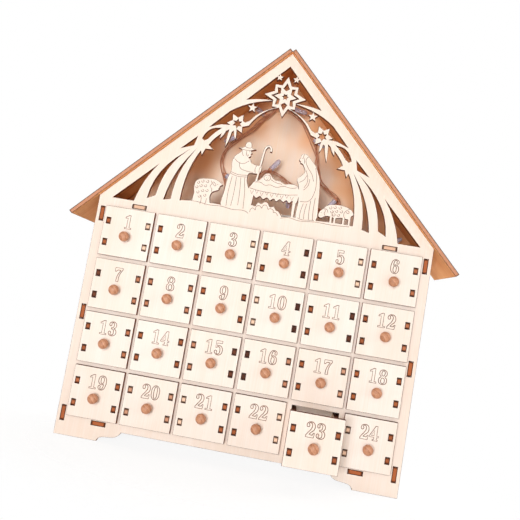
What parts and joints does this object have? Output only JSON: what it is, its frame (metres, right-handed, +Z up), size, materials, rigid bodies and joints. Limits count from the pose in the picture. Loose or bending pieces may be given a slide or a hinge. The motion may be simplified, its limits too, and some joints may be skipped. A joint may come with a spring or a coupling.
{
  "type": "wooden advent calendar",
  "caption": "House-shaped plywood advent calendar: a grid of numbered sliding drawers under a pierced, lit nativity gable and a steep overhanging roof.",
  "frame": {"origin": "on the ground, under the middle of the part's box with drawer 23 open as pictured", "axes": "+X to the right seen from the front, +Y to the back, +Z up; the drawers open towards -Y"},
  "size_m": [0.2922, 0.0874, 0.3134],
  "materials": {
    "basswood_ply": "matte",
    "beech": "satin",
    "box_plastic": "matte",
    "cell_label": "satin",
    "switch_plastic": "matte",
    "wire_plastic": "gloss"
  },
  "bodies": {
    "house": {"front_panel": "basswood_ply", "back_panel": "basswood_ply", "side_walls": "basswood_ply", "base_board": "basswood_ply", "scene_deck": "basswood_ply", "drawer_grid": "basswood_ply", "roof_left": "basswood_ply", "roof_right": "basswood_ply", "battery_box": "box_plastic", "battery_cells": "cell_label", "light_string": "wire_plastic"},
    "drawer_01": {"drawer_01": "basswood_ply", "knob_01": "beech"},
    "drawer_02": {"drawer_02": "basswood_ply", "knob_02": "beech"},
    "drawer_03": {"drawer_03": "basswood_ply", "knob_03": "beech"},
    "drawer_04": {"drawer_04": "basswood_ply", "knob_04": "beech"},
    "drawer_05": {"drawer_05": "basswood_ply", "knob_05": "beech"},
    "drawer_06": {"drawer_06": "basswood_ply", "knob_06": "beech"},
    "drawer_07": {"drawer_07": "basswood_ply", "knob_07": "beech"},
    "drawer_08": {"drawer_08": "basswood_ply", "knob_08": "beech"},
    "drawer_09": {"drawer_09": "basswood_ply", "knob_09": "beech"},
    "drawer_10": {"drawer_10": "basswood_ply", "knob_10": "beech"},
    "drawer_11": {"drawer_11": "basswood_ply", "knob_11": "beech"},
    "drawer_12": {"drawer_12": "basswood_ply", "knob_12": "beech"},
    "drawer_13": {"drawer_13": "basswood_ply", "knob_13": "beech"},
    "drawer_14": {"drawer_14": "basswood_ply", "knob_14": "beech"},
    "drawer_15": {"drawer_15": "basswood_ply", "knob_15": "beech"},
    "drawer_16": {"drawer_16": "basswood_ply", "knob_16": "beech"},
    "drawer_17": {"drawer_17": "basswood_ply", "knob_17": "beech"},
    "drawer_18": {"drawer_18": "basswood_ply", "knob_18": "beech"},
    "drawer_19": {"drawer_19": "basswood_ply", "knob_19": "beech"},
    "drawer_20": {"drawer_20": "basswood_ply", "knob_20": "beech"},
    "drawer_21": {"drawer_21": "basswood_ply", "knob_21": "beech"},
    "drawer_22": {"drawer_22": "basswood_ply", "knob_22": "beech"},
    "drawer_23": {"drawer_23": "basswood_ply", "knob_23": "beech"},
    "drawer_24": {"drawer_24": "basswood_ply", "knob_24": "beech"},
    "switch": {"battery_switch": "switch_plastic"}
  },
  "joints": [
    {"name": "drawer_01_slide", "type": "slide", "parent": "house", "child": "drawer_01", "axis": [0, -1, 0], "range_m": [0, 0.034]},
    {"name": "drawer_02_slide", "type": "slide", "parent": "house", "child": "drawer_02", "axis": [0, -1, 0], "range_m": [0, 0.034]},
    {"name": "drawer_03_slide", "type": "slide", "parent": "house", "child": "drawer_03", "axis": [0, -1, 0], "range_m": [0, 0.034]},
    {"name": "drawer_04_slide", "type": "slide", "parent": "house", "child": "drawer_04", "axis": [0, -1, 0], "range_m": [0, 0.034]},
    {"name": "drawer_05_slide", "type": "slide", "parent": "house", "child": "drawer_05", "axis": [0, -1, 0], "range_m": [0, 0.034]},
    {"name": "drawer_06_slide", "type": "slide", "parent": "house", "child": "drawer_06", "axis": [0, -1, 0], "range_m": [0, 0.034]},
    {"name": "drawer_07_slide", "type": "slide", "parent": "house", "child": "drawer_07", "axis": [0, -1, 0], "range_m": [0, 0.034]},
    {"name": "drawer_08_slide", "type": "slide", "parent": "house", "child": "drawer_08", "axis": [0, -1, 0], "range_m": [0, 0.034]},
    {"name": "drawer_09_slide", "type": "slide", "parent": "house", "child": "drawer_09", "axis": [0, -1, 0], "range_m": [0, 0.034]},
    {"name": "drawer_10_slide", "type": "slide", "parent": "house", "child": "drawer_10", "axis": [0, -1, 0], "range_m": [0, 0.034]},
    {"name": "drawer_11_slide", "type": "slide", "parent": "house", "child": "drawer_11", "axis": [0, -1, 0], "range_m": [0, 0.034]},
    {"name": "drawer_12_slide", "type": "slide", "parent": "house", "child": "drawer_12", "axis": [0, -1, 0], "range_m": [0, 0.034]},
    {"name": "drawer_13_slide", "type": "slide", "parent": "house", "child": "drawer_13", "axis": [0, -1, 0], "range_m": [0, 0.034]},
    {"name": "drawer_14_slide", "type": "slide", "parent": "house", "child": "drawer_14", "axis": [0, -1, 0], "range_m": [0, 0.034]},
    {"name": "drawer_15_slide", "type": "slide", "parent": "house", "child": "drawer_15", "axis": [0, -1, 0], "range_m": [0, 0.034]},
    {"name": "drawer_16_slide", "type": "slide", "parent": "house", "child": "drawer_16", "axis": [0, -1, 0], "range_m": [0, 0.034]},
    {"name": "drawer_17_slide", "type": "slide", "parent": "house", "child": "drawer_17", "axis": [0, -1, 0], "range_m": [0, 0.034]},
    {"name": "drawer_18_slide", "type": "slide", "parent": "house", "child": "drawer_18", "axis": [0, -1, 0], "range_m": [0, 0.034]},
    {"name": "drawer_19_slide", "type": "slide", "parent": "house", "child": "drawer_19", "axis": [0, -1, 0], "range_m": [0, 0.034]},
    {"name": "drawer_20_slide", "type": "slide", "parent": "house", "child": "drawer_20", "axis": [0, -1, 0], "range_m": [0, 0.034]},
    {"name": "drawer_21_slide", "type": "slide", "parent": "house", "child": "drawer_21", "axis": [0, -1, 0], "range_m": [0, 0.034]},
    {"name": "drawer_22_slide", "type": "slide", "parent": "house", "child": "drawer_22", "axis": [0, -1, 0], "range_m": [0, 0.034]},
    {"name": "drawer_23_slide", "type": "slide", "parent": "house", "child": "drawer_23", "axis": [0, -1, 0], "range_m": [-0.025, 0.009]},
    {"name": "drawer_24_slide", "type": "slide", "parent": "house", "child": "drawer_24", "axis": [0, -1, 0], "range_m": [0, 0.034]},
    {"name": "switch_slide", "type": "slide", "parent": "house", "child": "switch", "axis": [1, 0, 0], "range_m": [0, 0.004]}
  ]
}
